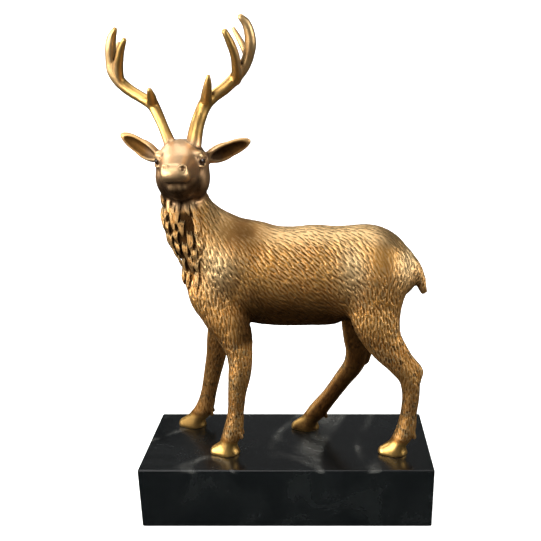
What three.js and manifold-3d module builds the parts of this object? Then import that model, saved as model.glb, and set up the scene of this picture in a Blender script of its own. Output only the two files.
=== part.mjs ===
// Brass stag standing on a black marble plinth.
// Millimetres, +Z up. The origin is the centre of the plinth's underside, +X runs to the stag's tail
// and +Y to its far side. The stag is one casting, shaped here like clay on an armature: masses are
// blended into one field, the field's surface is meshed, and flat areas are given fewer facets.
import * as THREE from "three";
import { mergeVertices } from "three/addons/utils/BufferGeometryUtils.js";
import Module from "manifold-3d";

const wasm = await Module();
wasm.setup();

// Driving dimensions
const PLINTH_LENGTH = 200;
const PLINTH_DEPTH = 75;
const PLINTH_HEIGHT = 45;
const PLINTH_CHAMFER = 0.9;
const STAG_HEIGHT = 288; // soles to the highest antler tip
const STAG_ASIDE = 1.5; // how far the stag's middle plane stands behind the plinth's
const CELL = 1.5; // size of the cells that the clay is sampled in
const STAG_TRIANGLES = 9000; // facets that the casting keeps

// The clay is described at very nearly its finished size and then scaled to STAG_HEIGHT. Its x is that of
// the finished work, z is counted from the soles and y from the stag's middle plane, near side negative.
const HOOF_ROOT = 1.5; // hooves run this far below the soles before they are cut flat
const SOLE_CLEARANCE = 0.3; // no vertex lies nearer than this to the cut

const vec = (x, y, z) => new THREE.Vector3(x, y, z);

// Shapes. Each has a middle, a reach around it, and a signed distance, negative inside.

// A rod with round ends, of radius ra at a and rb at b. Sideways it is thinner by the factors fa and fb.
function rod(a, b, ra, rb, fa = 1, fb = 1) {
  const [ax, ay, az] = a;
  const [ux, uy, uz] = [b[0] - ax, b[1] - ay, b[2] - az];
  const lengthSquared = ux * ux + uy * uy + uz * uz;
  return {
    middle: [ax + ux / 2, ay + uy / 2, az + uz / 2],
    reach: Math.sqrt(lengthSquared) / 2 + Math.max(ra, rb),
    distance(x, y, z) {
      const [px, py, pz] = [x - ax, y - ay, z - az];
      const share = Math.min(1, Math.max(0, (px * ux + py * uy + pz * uz) / lengthSquared));
      const aside = (py - share * uy) * (fa + share * (fb - fa));
      return Math.hypot(px - share * ux, aside, pz - share * uz) - ra - share * (rb - ra);
    },
  };
}

// An ellipsoid whose radii lie along three directions: the first along `along`, the last along `facing`.
function blob(centre, radii, along = [1, 0, 0], facing = [0, 0, 1]) {
  const u = vec(...along).normalize();
  const n = vec(...facing).addScaledVector(u, -vec(...facing).dot(u)).normalize();
  const v = n.clone().cross(u);
  const [cx, cy, cz] = centre;
  const [ru, rv, rn] = radii;
  return {
    middle: centre,
    reach: Math.max(...radii),
    distance(x, y, z) {
      const [px, py, pz] = [x - cx, y - cy, z - cz];
      const a = (px * u.x + py * u.y + pz * u.z) / ru;
      const b = (px * v.x + py * v.y + pz * v.z) / rv;
      const c = (px * n.x + py * n.y + pz * n.z) / rn;
      const outside = Math.hypot(a, b, c);
      const slope = Math.hypot(a / ru, b / rv, c / rn);
      return slope < 1e-9 ? -Math.min(...radii) : (outside * (outside - 1)) / slope;
    },
  };
}

// The clay, in the order in which it is put on. A mass is one shape or several that meet without a seam,
// and `blend` is how softly it runs into the rest.
const clay = [];
const mass = (blend, shapes, isCut = false) => clay.push({ shapes, blend, cut: isCut });
const add = (blend, ...shapes) => shapes.forEach((shape) => mass(blend, [shape]));
const cut = (blend, ...shapes) => shapes.forEach((shape) => mass(blend, [shape], true));

// One mass that runs through the points in a smooth curve. A point is [x, y, z, radius, flatness].
const STEPS = 4; // rods from one point to the next
function limb(blend, points) {
  const places = new THREE.CatmullRomCurve3(points.map(([x, y, z]) => vec(x, y, z)));
  const forms = new THREE.CatmullRomCurve3(points.map(([, , , radius, flatness = 1]) => vec(radius, flatness, 0)));
  const count = (points.length - 1) * STEPS;
  const rods = [];
  for (let i = 0; i < count; i++) {
    const [start, end] = [i / count, (i + 1) / count].map((t) => places.getPoint(t).toArray());
    const [a, b] = [i / count, (i + 1) / count].map((t) => forms.getPoint(t));
    rods.push(rod(start, end, a.x, b.x, a.y, b.y));
  }
  mass(blend, rods);
}

const SIDES = [-1, 1]; // near and far, or left and right of the face

function torso() {
  add(
    8,
    blob([-20, 0, 127], [42, 21, 33.5]),
    blob([20, 0, 126], [46, 21, 35]),
    blob([52.5, 0, 129.5], [32, 20, 30.5]),
    blob([-46, 0, 121], [20, 16.5, 23]),
  );
  limb(7, [
    [-40, 0, 140, 22],
    [-54, 0, 152, 19.7],
    [-61, 0, 165, 17],
    [-63.3, 0, 176, 14],
    [-63.6, 0, 186, 12.8],
  ]);
  add(4, rod([-31, 0, 151.5], [-48, 0, 165], 12.6, 7.8));
  add(6, blob([-22, 0, 149], [15, 8, 12.5]), blob([28, 0, 95], [9, 4, 3.4]));
  SIDES.forEach((side) => {
    add(8, blob([-40, side * 10.8, 128], [10, 8, 29], [-0.8, 0, 0.6], [0.6, 0, 0.8]));
    add(6, blob([60, side * 10, 127], [19, 10.5, 25]));
  });
  limb(3, [
    [78, 0, 137, 7],
    [85, 0, 130.5, 5.4],
    [89.6, 0, 122.5, 4],
    [92.6, 0, 114.3, 2.4],
  ]);
}

// A hoof with its toe at [toe, y, 0]: a wedge on a flat sole.
function hoof(toe, y) {
  add(2, rod([toe + 13, y, 5], [toe + 4.6, y, 1.6], 6.2, 4.2));
  add(2, blob([toe + 12.6, y, -0.5], [8.6, 6.6, 7.6]));
}

// The two dewclaws behind a fetlock.
function dewclaws([x, y, z]) {
  SIDES.forEach((side) => {
    add(1, rod([x + 4, y + side * 2.8, z + 1], [x + 6, y + side * 3, z - 4], 2, 1.3));
  });
}

function leg(points, toe) {
  limb(5, points);
  dewclaws(points.at(-2));
  hoof(toe, points.at(-1)[1]);
}

function legs() {
  // Near fore
  leg(
    [[-49, -10.5, 116, 13.5, 1.5], [-42.5, -12, 103, 13.6, 1.4], [-34.5, -14, 89.5, 11.8, 1.25],
      [-31.3, -15.5, 77, 8.9, 1.1], [-30.8, -16.5, 67, 7.9], [-31.5, -17, 60, 7.6], [-33.6, -17.3, 47, 6.2],
      [-35, -17.5, 33, 5.6], [-37.4, -17.5, 18, 6.6], [-40.8, -17.5, 9.5, 5.8]],
    -54.4,
  );
  // Far fore
  leg(
    [[-47, 10.5, 114, 12.5, 1.5], [-45, 12, 100, 11.4, 1.35], [-47, 14.5, 86, 9.4, 1.2],
      [-50.8, 17, 72, 7.8], [-52.3, 18, 61, 7.3], [-56.3, 19, 44, 6.3], [-60, 19.3, 28, 5.7],
      [-64, 19.5, 14.5, 6.6], [-68.8, 19.5, 8.5, 5.8]],
    -84.2,
  );
  // Near hind, with the point of its hock and the tendon that runs up from it
  leg(
    [[60.5, -11, 126, 18.6, 1.8], [59.4, -12, 112, 17.8, 1.8], [60.3, -13.5, 97, 15.6, 1.6],
      [67, -15, 80, 11, 1.3], [75, -16, 69, 8.2, 1.1], [82.6, -16.8, 58.5, 7], [84.6, -17.3, 46, 6],
      [83.8, -17.5, 33, 5.6], [82, -17.5, 18, 6.6], [78, -17.5, 9.5, 5.8]],
    62.9,
  );
  limb(3, [[74, -15.5, 83, 4.5], [82, -16.3, 72, 3.2], [89.6, -16.8, 62.5, 2.9], [88.6, -17, 57, 2.4]]);
  // Far hind, likewise
  leg(
    [[57, 11, 122, 18, 1.8], [52, 12, 106, 14.5, 1.6], [49, 13.5, 90, 11.4, 1.3], [48.6, 14.5, 74, 9.3, 1.1],
      [49.4, 15, 65, 8.4], [47.2, 15, 53, 7.4], [39.4, 15.3, 41, 6.4], [30, 15.5, 27, 6],
      [21, 15.5, 15, 6.6], [16, 15.5, 9, 5.8]],
    0.8,
  );
  limb(3, [[55, 14, 76, 4], [57.4, 14.8, 65, 3], [56, 15.2, 55.5, 2.4]]);
}

// The head looks to the near side, turned a little to the tail. A point of it is sideways, forwards and
// up from the middle of the skull.
const HEAD = vec(-63, -5.5, 202);
const HEAD_TURN = 3; // degrees
const FORWARDS = vec(0, -1, 0).applyAxisAngle(vec(0, 0, 1), (HEAD_TURN * Math.PI) / 180);
const SIDEWAYS = vec(1, 0, 0).applyAxisAngle(vec(0, 0, 1), (HEAD_TURN * Math.PI) / 180);
const onHead = (sideways, forwards, up) =>
  HEAD.clone().addScaledVector(SIDEWAYS, sideways).addScaledVector(FORWARDS, forwards).add(vec(0, 0, up)).toArray();

function head() {
  add(3, blob(onHead(0, 0, -0.6), [15.6, 16, 14.4]));
  add(3, blob(onHead(0, 8, 1.6), [12.5, 11, 10]));
  SIDES.forEach((side) => add(3, blob(onHead(side * 8.7, 2, -9.6), [8, 12, 12.8])));
  add(3, rod(onHead(0, 1, -13), onHead(0, 17, -12.4), 13, 8.5));
  // Lower lip and chin, then the muzzle, each of two rods side by side, and the nose
  mass(2.5, SIDES.map((side) => rod(onHead(side * 3, 10, -11), onHead(side * 2.2, 25.6, -10.8), 8.5, 4.9)));
  mass(1.5, SIDES.map((side) => rod(onHead(side * 3, 8, -0.8), onHead(side * 3.2, 28.6, -1.9), 9.6, 5.4)));
  add(1.5, blob(onHead(0, 32.2, 0), [7, 3.4, 3.9]));
  SIDES.forEach((side) => {
    add(1.5, blob(onHead(side * 11.4, 9.5, 5.6), [3.6, 5, 2.4]));
    cut(1, blob(onHead(side * 14.8, 10.5, 1.6), [3.2, 3.6, 2.6]));
    add(0.4, blob(onHead(side * 12.8, 9.5, 1.6), [2.6, 3, 2.4]));
    cut(0.8, blob(onHead(side * 5.6, 34.6, 0.8), [1.8, 2.2, 1.9]));
  });
}

// An ear from its root to its tip, broadest near the root and hollowed on the side that it faces.
function ear(root, tip, facing) {
  const along = tip.map((value, i) => value - root[i]);
  const half = Math.hypot(...along) / 2;
  const at = (share, height) => root.map((value, i) => value + share * along[i] + height * facing[i]);
  mass(2.5, [blob(at(0.5, 0), [half, 5.2, 3], along, facing), blob(at(0.36, 0), [half * 0.72, 6, 3.2], along, facing)]);
  cut(0.8, blob(at(0.52, 2.6), [half * 0.8, 3.9, 2.6], along, facing));
}

function ears() {
  ear([-77, -5, 203], [-100.8, -3.5, 218.8], [0.05, -0.96, -0.28]);
  ear([-49, -5, 203], [-20.2, -3.5, 214.8], [0.25, -0.93, -0.28]);
}

function antlers() {
  const beams = [
    [[-69.2, -7.5, 212, 3], [-74.2, -2.5, 222.7, 2.9], [-77.4, 0.5, 229.1, 3.3], [-81.1, 2.5, 235.7, 3.5],
      [-88.2, 4.5, 240.1, 3.1], [-95.4, 5.5, 244.4, 3.1], [-100.9, 5.5, 249.4, 3.2], [-104.1, 4.5, 255.3, 3.5],
      [-104, 2.5, 262.3, 3.4], [-103, -0.5, 269.1, 2.9], [-101.2, -2.5, 274.7, 2.3], [-97.9, -5.5, 279.4, 1.1]],
    [[-55.2, -7.5, 212, 3.9], [-53.5, -3.5, 222.2, 3.7], [-51.6, 0.5, 229.1, 3.8], [-48.2, 2.5, 236.3, 3.8],
      [-42.9, 4.5, 241, 3], [-35.8, 5.5, 246, 3.1], [-29.2, 5.5, 252.2, 3.1], [-24, 4.5, 258.1, 3.1],
      [-20.6, 2.5, 264.6, 2.8], [-18.7, -0.5, 271.4, 2.8], [-18.9, -2.5, 277.5, 2.6], [-20.5, -4.5, 283, 2.2],
      [-23.3, -6.5, 286.2, 1.5]],
  ];
  const tines = [
    [[-80.8, 2.5, 236.3, 3.1], [-79.8, -4.5, 241.4, 2.4], [-79.2, -9.5, 245.2, 1.1]],
    [[-101.3, 5.5, 249.3, 2.7], [-100, 1.5, 256.5, 2.3], [-97.9, -2.5, 262.2, 2], [-95, -6.5, 268.4, 1.8],
      [-91.4, -10.5, 273.4, 1.1]],
    [[-103.6, 3.5, 263.4, 2.3], [-102.5, 7.5, 268.1, 1.8], [-101.2, 10.5, 272, 1]],
    [[-48.5, 2.5, 235.7, 3], [-46.1, -3.5, 243.1, 2.7], [-44.4, -7.5, 248.5, 2.1], [-43.3, -10.5, 253, 1]],
    [[-29, 5.5, 250.5, 2.8], [-27.9, 0.5, 257.1, 2.4], [-27.8, -4.5, 264.5, 2.2], [-29.6, -8.5, 271.5, 2],
      [-32.2, -11.5, 277.8, 1.4]],
    [[-20.6, 3.5, 263.4, 2.2], [-23.1, 5.5, 268.7, 1.8], [-26.3, 6.5, 274.8, 1.5], [-29.4, 6.5, 280.4, 1]],
  ];
  beams.forEach((points) => limb(1, points));
  tines.forEach((points) => limb(1, points));
}

// The mane: rows of hanging locks round the throat and down the chest, each row lower than the last.
// `sweep` is how far round the neck a row runs, in half turns centred on the stag's front.
function mane() {
  const rows = [
    { x: -64, z: 181, locks: 11, sweep: 1.3 },
    { x: -62, z: 171, locks: 11, sweep: 1.25 },
    { x: -58, z: 160, locks: 10, sweep: 1.05 },
    { x: -54, z: 149, locks: 8, sweep: 0.8 },
    { x: -48, z: 138, locks: 6, sweep: 0.6 },
  ];
  const length = 13;
  const body = [...clay];
  // Where the body's surface is met on the way out from the middle of the neck.
  const surface = (x, z, angle) => {
    const [ox, oy] = [-Math.cos(angle), Math.sin(angle)];
    let out = 0;
    for (let step = 0; step < 40; step++) out -= 0.8 * field(body, x + ox * out, oy * out, z);
    return (height) => [x + ox * (out + height), oy * (out + height), z];
  };
  rows.forEach(({ x, z, locks, sweep }, row) => {
    for (let i = 0; i < locks; i++) {
      const angle = Math.PI * sweep * ((i + (row % 2) / 2) / (locks - 0.5) - 0.5);
      add(0.8, rod(surface(x, z, angle)(-1.4), surface(x, z - length, angle)(0.5), 2.4, 1));
    }
  });
}

torso();
legs();
mane();
head();
ears();
antlers();

// The signed distance at a point to the given masses.
function field(masses, x, y, z) {
  let d = 1e3;
  for (const { shapes, blend, cut: isCut } of masses) {
    let own = 1e3;
    for (const shape of shapes) own = Math.min(own, shape.distance(x, y, z));
    const other = isCut ? -own : own;
    const closer = isCut ? Math.max(d, other) : Math.min(d, other);
    const overlap = Math.max(blend - Math.abs(d - other), 0) / blend;
    const softening = (overlap * overlap * blend) / 4;
    d = isCut ? closer + softening : closer - softening;
  }
  return d;
}

// The masses with only those of their shapes that come within `reach` of a place.
function massesNear([x, y, z], reach) {
  return clay
    .map((item) => ({
      ...item,
      shapes: item.shapes.filter((shape) => {
        const [mx, my, mz] = shape.middle;
        return Math.hypot(mx - x, my - y, mz - z) < shape.reach + reach + item.blend;
      }),
    }))
    .filter((item) => item.shapes.length);
}

// The corners of a cell, and its edges and faces as lists of corners, a face's going round it.
const CORNERS = [0, 1, 2, 3, 4, 5, 6, 7].map((c) => [c & 1, (c >> 1) & 1, (c >> 2) & 1]);
const EDGES = CORNERS.flatMap((a, i) =>
  CORNERS.flatMap((b, j) => (j > i && a.filter((value, axis) => value !== b[axis]).length === 1 ? [[i, j]] : [])),
);
const FACES = [1, 2, 4].flatMap((axis, n) => {
  const [u, v] = [[2, 4], [4, 1], [1, 2]][n];
  return [0, axis].map((from) => [from, from + u, from + u + v, from + v]);
});

// The field on a grid of points a cell apart, worked out block by block so that each block meets only
// the masses near it.
function sampledField(cell) {
  const margin = 2 * cell;
  const low = [1e9, 1e9, 1e9];
  const high = [-1e9, -1e9, -1e9];
  clay.filter((item) => !item.cut).flatMap((item) => item.shapes).forEach(({ middle, reach }) => {
    for (let i = 0; i < 3; i++) {
      low[i] = Math.min(low[i], middle[i] - reach - margin);
      high[i] = Math.max(high[i], middle[i] + reach + margin);
    }
  });
  low[2] = -HOOF_ROOT - margin;
  const block = 8;
  const size = low.map((value, i) => Math.ceil((high[i] - value) / cell / block) * block + 1);
  const stride = [1, size[0], size[0] * size[1]];
  const values = new Float32Array(size[0] * size[1] * size[2]).fill(1);
  const half = (block * cell) / 2;
  for (let bz = 0; bz < size[2] - 1; bz += block)
    for (let by = 0; by < size[1] - 1; by += block)
      for (let bx = 0; bx < size[0] - 1; bx += block) {
        const centre = [bx, by, bz].map((value, i) => low[i] + value * cell + half);
        const masses = massesNear(centre, half * Math.sqrt(3) + cell);
        if (masses.every((item) => item.cut)) continue;
        for (let k = bz; k <= bz + block; k++)
          for (let j = by; j <= by + block; j++)
            for (let i = bx; i <= bx + block; i++) {
              const d = field(masses, low[0] + i * cell, low[1] + j * cell, low[2] + k * cell);
              values[i + j * stride[1] + k * stride[2]] = Math.max(d, -HOOF_ROOT - (low[2] + k * cell));
            }
      }
  return { cell, low, size, stride, values };
}

// Fills the grid points where the surface would touch itself at an edge or a corner of a cell.
function withoutTouching({ cell, size, stride, values, ...grid }) {
  const at = CORNERS.map(([x, y, z]) => x + y * stride[1] + z * stride[2]);
  const inside = (index) => values[index] < 0;
  const fill = (indices) => {
    const outside = indices.filter((index) => !inside(index));
    const nearest = Math.min(...outside.map((index) => values[index]));
    values[outside.find((index) => values[index] === nearest)] = -0.1 * cell;
  };
  for (let changed = true; changed; ) {
    changed = false;
    for (let k = 0; k < size[2] - 1; k++)
      for (let j = 0; j < size[1] - 1; j++)
        for (let i = 0; i < size[0] - 1; i++) {
          const key = i + j * stride[1] + k * stride[2];
          const full = at.filter((offset) => inside(key + offset)).length;
          if (full < 2 || full > 6) continue;
          const faces = FACES.map((face) => face.map((corner) => key + at[corner]));
          const touching = faces.find(([a, b, c, d]) =>
            inside(a) === inside(c) && inside(b) === inside(d) && inside(a) !== inside(b));
          const across = full === 2 || full === 6;
          const opposite = across && [0, 1, 2, 3].some((c) => {
            const [a, b] = [inside(key + at[c]), inside(key + at[7 - c])];
            return a === b && a === (full === 2);
          });
          if (!touching && !opposite) continue;
          fill(touching || at.map((offset) => key + offset));
          changed = true;
        }
  }
  return { cell, size, stride, values, ...grid };
}

// The surface: one vertex for each cell that it passes through, joined into quads.
function surfaceOf({ cell, low, size, stride, values }) {
  const points = [];
  const faces = [];
  const vertexOf = new Map();
  const vertexIn = (i, j, k) => {
    const key = i + j * stride[1] + k * stride[2];
    if (vertexOf.has(key)) return vertexOf.get(key);
    const at = CORNERS.map(([x, y, z]) => values[key + x + y * stride[1] + z * stride[2]]);
    const sum = [0, 0, 0];
    let crossings = 0;
    for (const [a, b] of EDGES)
      if (at[a] < 0 !== at[b] < 0) {
        const share = at[a] / (at[a] - at[b]);
        sum.forEach((_, axis) => {
          sum[axis] += CORNERS[a][axis] + share * (CORNERS[b][axis] - CORNERS[a][axis]);
        });
        crossings++;
      }
    points.push([i, j, k].map((value, axis) => low[axis] + (value + sum[axis] / crossings) * cell));
    vertexOf.set(key, points.length - 1);
    return points.length - 1;
  };
  const aroundEdge = [[0, 0], [-1, 0], [-1, -1], [0, -1]];
  for (let k = 1; k < size[2] - 1; k++)
    for (let j = 1; j < size[1] - 1; j++)
      for (let i = 1; i < size[0] - 1; i++) {
        const key = i + j * stride[1] + k * stride[2];
        for (let axis = 0; axis < 3; axis++) {
          if (values[key] < 0 === values[key + stride[axis]] < 0) continue;
          const quad = aroundEdge.map(([a, b]) => {
            const at = [i, j, k];
            at[(axis + 1) % 3] += a;
            at[(axis + 2) % 3] += b;
            return vertexIn(...at);
          });
          if (values[key] >= 0) quad.reverse();
          faces.push([quad[0], quad[1], quad[2]], [quad[0], quad[2], quad[3]]);
        }
      }
  return { points, faces };
}

// Merges edges, those that change the surface least first, until `target` triangles are left.
// The error of a vertex is its squared distance to the planes of the triangles merged into it.
function simplify({ points, faces }, target) {
  const quadrics = points.map(() => new Float64Array(10));
  const facesAt = points.map(() => new Set());
  const alive = faces.map(() => true);
  const age = new Int32Array(points.length);
  const normalOf = (a, b, c) => {
    const [ux, uy, uz] = [b[0] - a[0], b[1] - a[1], b[2] - a[2]];
    const [vx, vy, vz] = [c[0] - a[0], c[1] - a[1], c[2] - a[2]];
    return [uy * vz - uz * vy, uz * vx - ux * vz, ux * vy - uy * vx];
  };
  faces.forEach((face, f) => {
    const [a, b, c] = face.map((v) => points[v]);
    const n = normalOf(a, b, c);
    const area = Math.hypot(...n) || 1e-12;
    const [nx, ny, nz] = n.map((value) => value / area);
    const d = -(nx * a[0] + ny * a[1] + nz * a[2]);
    const plane = [nx * nx, nx * ny, nx * nz, nx * d, ny * ny, ny * nz, ny * d, nz * nz, nz * d, d * d];
    face.forEach((v) => {
      facesAt[v].add(f);
      plane.forEach((value, i) => (quadrics[v][i] += value * area));
    });
  });
  const errorAt = (q, [x, y, z]) =>
    q[0] * x * x + q[4] * y * y + q[7] * z * z + q[9] +
    2 * (q[1] * x * y + q[2] * x * z + q[5] * y * z + q[3] * x + q[6] * y + q[8] * z);
  // Where two merged vertices lie best: where the error is least, or else one of them or their middle.
  const bestPlace = (u, v) => {
    const q = quadrics[u].map((value, i) => value + quadrics[v][i]);
    const middle = points[u].map((value, i) => (value + points[v][i]) / 2);
    const choices = [middle, points[u], points[v]];
    const solver = new THREE.Matrix3().set(q[0], q[1], q[2], q[1], q[4], q[5], q[2], q[5], q[7]);
    const det = solver.determinant();
    if (Math.abs(det) > 1e-9) {
      const best = vec(-q[3], -q[6], -q[8]).applyMatrix3(solver.invert()).toArray();
      const reach = Math.hypot(...points[u].map((value, i) => value - points[v][i]));
      if (Math.hypot(...best.map((value, i) => value - middle[i])) < 2 * reach) choices.push(best);
    }
    const costs = choices.map((place) => errorAt(q, place));
    const least = Math.min(...costs);
    return { place: choices[costs.indexOf(least)], cost: Math.max(least, 0), q };
  };

  const heap = [];
  const push = (entry) => {
    let i = heap.push(entry) - 1;
    while (i > 0) {
      const parent = (i - 1) >> 1;
      if (heap[parent].cost <= heap[i].cost) break;
      [heap[parent], heap[i]] = [heap[i], heap[parent]];
      i = parent;
    }
  };
  const pop = () => {
    const top = heap[0];
    const last = heap.pop();
    if (!heap.length) return top;
    heap[0] = last;
    for (let i = 0; ; ) {
      const [left, right] = [2 * i + 1, 2 * i + 2];
      let least = i;
      if (left < heap.length && heap[left].cost < heap[least].cost) least = left;
      if (right < heap.length && heap[right].cost < heap[least].cost) least = right;
      if (least === i) return top;
      [heap[least], heap[i]] = [heap[i], heap[least]];
      i = least;
    }
  };
  const neighbours = (v) => {
    const found = new Set();
    facesAt[v].forEach((f) => faces[f].forEach((w) => w !== v && found.add(w)));
    return found;
  };
  const offer = (u, v) => {
    const { place, cost, q } = bestPlace(u, v);
    push({ u, v, place, q, cost, ageU: age[u], ageV: age[v] });
  };
  // A merge may not turn a triangle over or squeeze it flat.
  const turnsOver = (v, other, place) =>
    [...facesAt[v]].some((f) => {
      if (faces[f].includes(other)) return false;
      const before = normalOf(...faces[f].map((w) => points[w]));
      const after = normalOf(...faces[f].map((w) => (w === v ? place : points[w])));
      const dot = before.reduce((total, value, i) => total + value * after[i], 0);
      return dot < 0.25 * Math.hypot(...before) * Math.hypot(...after) || Math.hypot(...after) < 1e-4;
    });

  points.forEach((_, u) => neighbours(u).forEach((v) => u < v && offer(u, v)));
  let count = faces.length;
  while (count > target && heap.length) {
    const { u, v, place, q, ageU, ageV } = pop();
    if (age[u] !== ageU || age[v] !== ageV) continue;
    const shared = [...facesAt[u]].filter((f) => facesAt[v].has(f));
    const around = neighbours(v);
    const common = [...neighbours(u)].filter((w) => around.has(w));
    if (shared.length !== 2 || common.length !== 2) continue;
    if (turnsOver(u, v, place) || turnsOver(v, u, place)) continue;
    shared.forEach((f) => {
      alive[f] = false;
      faces[f].forEach((w) => facesAt[w].delete(f));
    });
    facesAt[v].forEach((f) => {
      faces[f] = faces[f].map((w) => (w === v ? u : w));
      facesAt[u].add(f);
    });
    facesAt[v].clear();
    points[u] = place;
    quadrics[u] = q;
    age[u]++;
    age[v] = -1;
    count -= 2;
    neighbours(u).forEach((w) => offer(u, w));
  }
  return { points, faces: faces.filter((_, f) => alive[f]) };
}

function geometryOf({ points, faces }) {
  return new THREE.BufferGeometry()
    .setAttribute("position", new THREE.Float32BufferAttribute(points.flat(), 3))
    .setIndex(faces.flat());
}

// Booleans
function solidOf(geometry) {
  const bare = geometry.clone();
  bare.deleteAttribute("normal");
  bare.deleteAttribute("uv");
  const merged = mergeVertices(bare, 1e-4);
  return new wasm.Manifold(
    new wasm.Mesh({
      numProp: 3,
      vertProperties: merged.attributes.position.array,
      triVerts: new Uint32Array(merged.index.array),
    }),
  );
}

function geometryFrom(solid) {
  const { numProp, vertProperties, triVerts } = solid.getMesh();
  const positions = new Float32Array((vertProperties.length / numProp) * 3);
  for (let i = 0; i < positions.length / 3; i++)
    positions.set(vertProperties.subarray(i * numProp, i * numProp + 3), i * 3);
  return new THREE.BufferGeometry()
    .setAttribute("position", new THREE.BufferAttribute(positions, 3))
    .setIndex([...triVerts]);
}

// The casting, with its soles cut flat.
function stagGeometry() {
  const surface = simplify(surfaceOf(withoutTouching(sampledField(CELL))), STAG_TRIANGLES);
  surface.points.forEach((point) => {
    if (Math.abs(point[2]) < SOLE_CLEARANCE) point[2] = SOLE_CLEARANCE * (point[2] < 0 ? -1 : 1);
  });
  const figure = solidOf(geometryOf(surface));
  const [width, depth] = [PLINTH_LENGTH * 2, 10];
  const below = new THREE.BoxGeometry(width, width, depth).translate(0, 0, -depth / 2);
  const geometry = geometryFrom(figure.subtract(solidOf(below)));
  geometry.computeBoundingBox();
  const scale = STAG_HEIGHT / geometry.boundingBox.max.z;
  return geometry.scale(scale, scale, scale);
}

// The block, with its edges eased.
function plinthGeometry() {
  const [x, y] = [PLINTH_LENGTH / 2 - PLINTH_CHAMFER, PLINTH_DEPTH / 2 - PLINTH_CHAMFER];
  const outline = new THREE.Shape([
    new THREE.Vector2(-x, -y),
    new THREE.Vector2(x, -y),
    new THREE.Vector2(x, y),
    new THREE.Vector2(-x, y),
  ]);
  return new THREE.ExtrudeGeometry(outline, {
    depth: PLINTH_HEIGHT - 2 * PLINTH_CHAMFER,
    bevelThickness: PLINTH_CHAMFER,
    bevelSize: PLINTH_CHAMFER,
    bevelSegments: 1,
  }).translate(0, 0, PLINTH_CHAMFER);
}

const brass = new THREE.MeshStandardMaterial({ color: 0xb08440, roughness: 0.38, metalness: 1 });
const marble = new THREE.MeshStandardMaterial({ color: 0x16191b, roughness: 0.16, metalness: 0 });

const group = new THREE.Group();

const plinth = new THREE.Mesh(plinthGeometry(), marble);
plinth.name = "plinth";
group.add(plinth);

const stag = new THREE.Mesh(stagGeometry(), brass);
stag.name = "stag";
stag.position.set(0, STAG_ASIDE, PLINTH_HEIGHT);
group.add(stag);

export default group;
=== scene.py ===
"""A brass stag on a black marble plinth: its carving, its patina with painted shade and highlights, the
studio and the camera.
"""

import itertools
import math

import bpy
import numpy as np
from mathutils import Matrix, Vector
from mathutils.kdtree import KDTree


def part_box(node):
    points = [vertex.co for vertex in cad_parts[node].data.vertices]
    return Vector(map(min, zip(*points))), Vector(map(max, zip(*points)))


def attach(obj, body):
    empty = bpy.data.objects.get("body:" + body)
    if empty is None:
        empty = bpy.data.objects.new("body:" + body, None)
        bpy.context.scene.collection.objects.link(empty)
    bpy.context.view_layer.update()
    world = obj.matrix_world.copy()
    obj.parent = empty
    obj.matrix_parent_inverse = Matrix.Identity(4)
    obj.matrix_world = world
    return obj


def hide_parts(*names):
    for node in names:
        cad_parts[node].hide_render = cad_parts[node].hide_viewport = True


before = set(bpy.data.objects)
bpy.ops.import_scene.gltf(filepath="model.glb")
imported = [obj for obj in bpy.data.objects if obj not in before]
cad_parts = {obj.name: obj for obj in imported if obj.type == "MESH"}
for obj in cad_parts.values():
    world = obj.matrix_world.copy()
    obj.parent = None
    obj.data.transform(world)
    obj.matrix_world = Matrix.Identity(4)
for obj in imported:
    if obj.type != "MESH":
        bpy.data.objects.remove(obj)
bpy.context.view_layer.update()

RNG = np.random.default_rng(7)
MM = 0.001
# Lengths in millimetres. The stag stands a little to the far side, and its clay runs on below its soles.
PLINTH_HEIGHT = 45.0
PLINTH_EDGE = 1.1
STAG_HEIGHT = 288.0
STAG_ASIDE = 1.5
HOOF_ROOT = 1.5
# The grid's cells, the farthest distance kept in it, and the most strokes tried and triangles kept.
CELL = 0.6
FAR = 12
STROKES_TRIED = 70000
TRIANGLES = 197000


# Clay. The stag is shaped in millimetres from its soles, as its solid is, and then given finer forms.


def unit(v):
    v = np.asarray(v, float)
    return v / np.maximum(np.linalg.norm(v, axis=-1, keepdims=True), 1e-9)


def rod(a, b, ra, rb, fa=1.0, fb=1.0):
    """A rod with round ends, thinner sideways by the factors fa and fb."""
    a, b = np.array(a, float), np.array(b, float)
    u = b - a
    reach = np.linalg.norm(u) / 2 + max(ra, rb)
    return "rod", a + u / 2, reach, np.array([*a, *u, u @ u, ra, rb - ra, fa, fb - fa])


def blob(centre, radii, along=(1, 0, 0), facing=(0, 0, 1)):
    """An ellipsoid with its radii along `along`, across, and along `facing`."""
    u = unit(along)
    n = unit(np.array(facing, float) - np.dot(facing, u) * u)
    axes = np.array([u, np.cross(n, u), n]).T
    return "blob", np.array(centre, float), max(radii), (axes, np.array(radii, float))


def to_rods(table, p):
    """The distance from each point to the nearest of the rods in a table."""
    q = p[:, None] - table[:, :3]
    share = np.clip(np.einsum("mki,ki->mk", q, table[:, 3:6]) / table[:, 6], 0, 1)
    q -= share[..., None] * table[:, 3:6]
    q[..., 1] *= table[:, 9] + share * table[:, 10]
    return (np.sqrt(np.einsum("mki,mki->mk", q, q)) - table[:, 7] - share * table[:, 8]).min(1)


def to_blob(centre, axes, radii, p):
    q = (p - centre) @ axes / radii
    outside = np.sqrt((q * q).sum(1))
    slope = np.sqrt(((q / radii) ** 2).sum(1))
    return np.where(slope < 1e-9, -radii.min(), outside * (outside - 1) / np.maximum(slope, 1e-9))


clay = []


def mass(blend, shapes, is_cut=False):
    clay.append((shapes, blend, is_cut))


def add(blend, *shapes):
    for shape in shapes:
        mass(blend, [shape])


def cut(blend, *shapes):
    for shape in shapes:
        mass(blend, [shape], True)


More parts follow.
